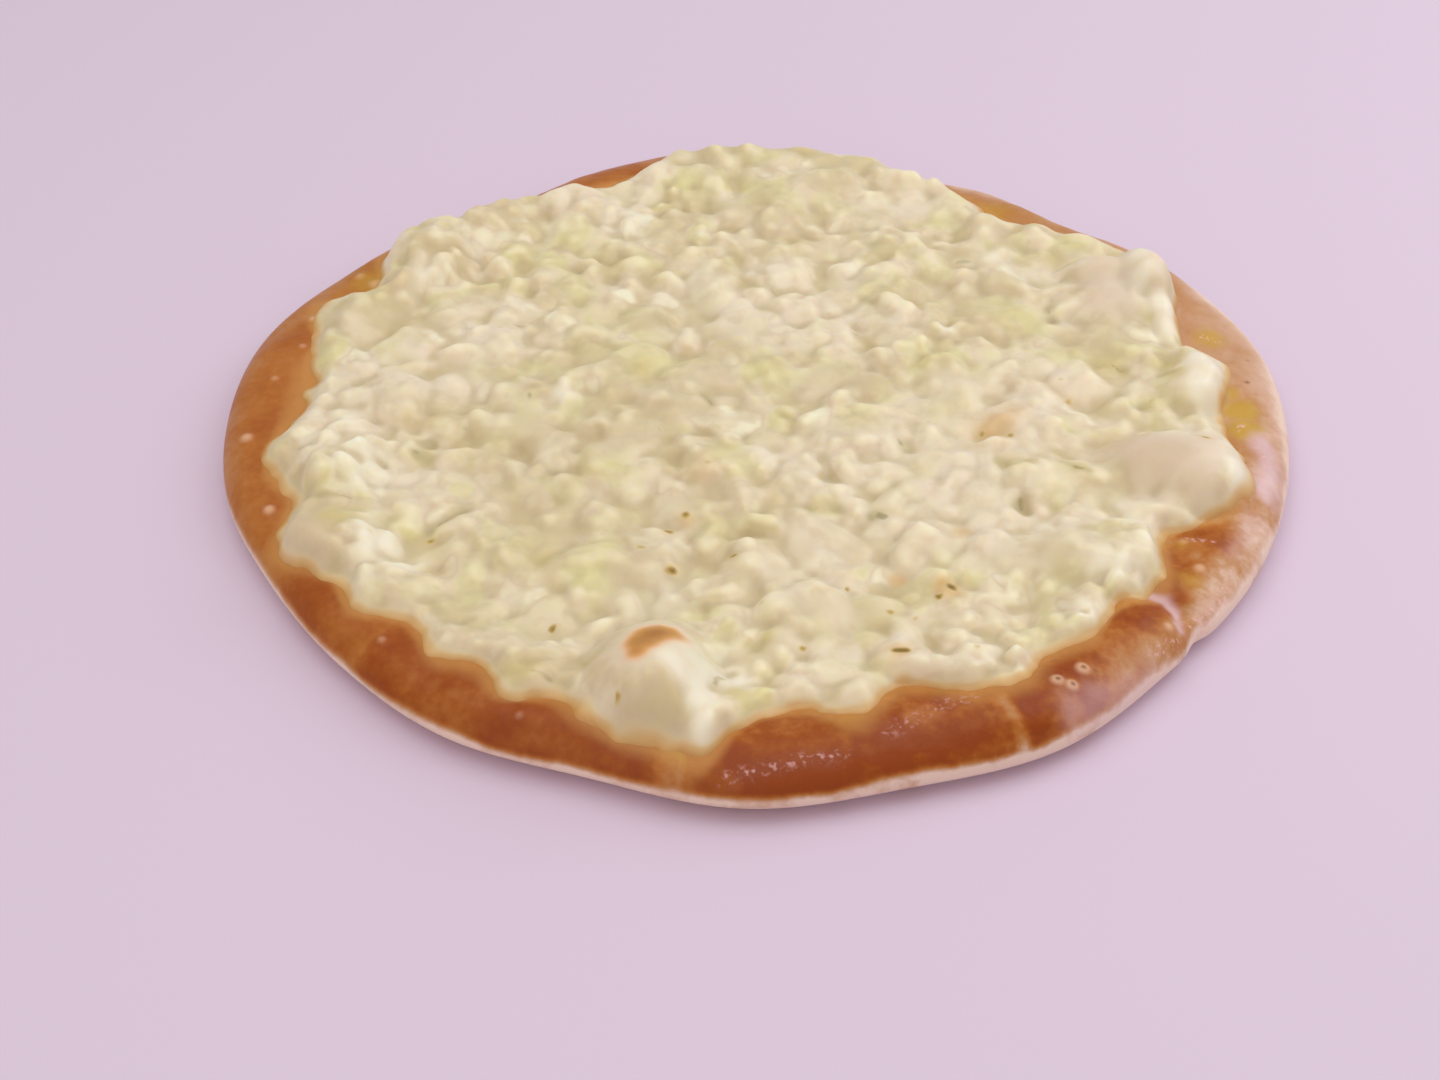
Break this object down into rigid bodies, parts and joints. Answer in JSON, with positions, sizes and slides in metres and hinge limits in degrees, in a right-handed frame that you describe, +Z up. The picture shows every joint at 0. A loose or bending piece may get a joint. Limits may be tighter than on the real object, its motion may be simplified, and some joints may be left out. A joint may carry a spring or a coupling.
{
  "type": "cheese manakish",
  "caption": "Round baked flatbread with a puffed, browned rim and air bubbles, covered by a lumpy layer of melted white cheese.",
  "frame": {"origin": "under the middle of the bread, on its flat bottom", "axes": "+Z up through the bread, -Y towards the side with the tall browned bubble"},
  "size_m": [0.3086, 0.2997, 0.0299],
  "materials": {
    "browned_crust": "baked dough, golden to red-brown, with an oily gloss on the rim and a pale lower edge",
    "melted_cheese": "soft, slightly glossy melted white cheese, creamy with pale yellow hollows"
  },
  "bodies": {
    "root": {"bread": "browned_crust", "cheese": "melted_cheese"}
  },
  "joints": []
}
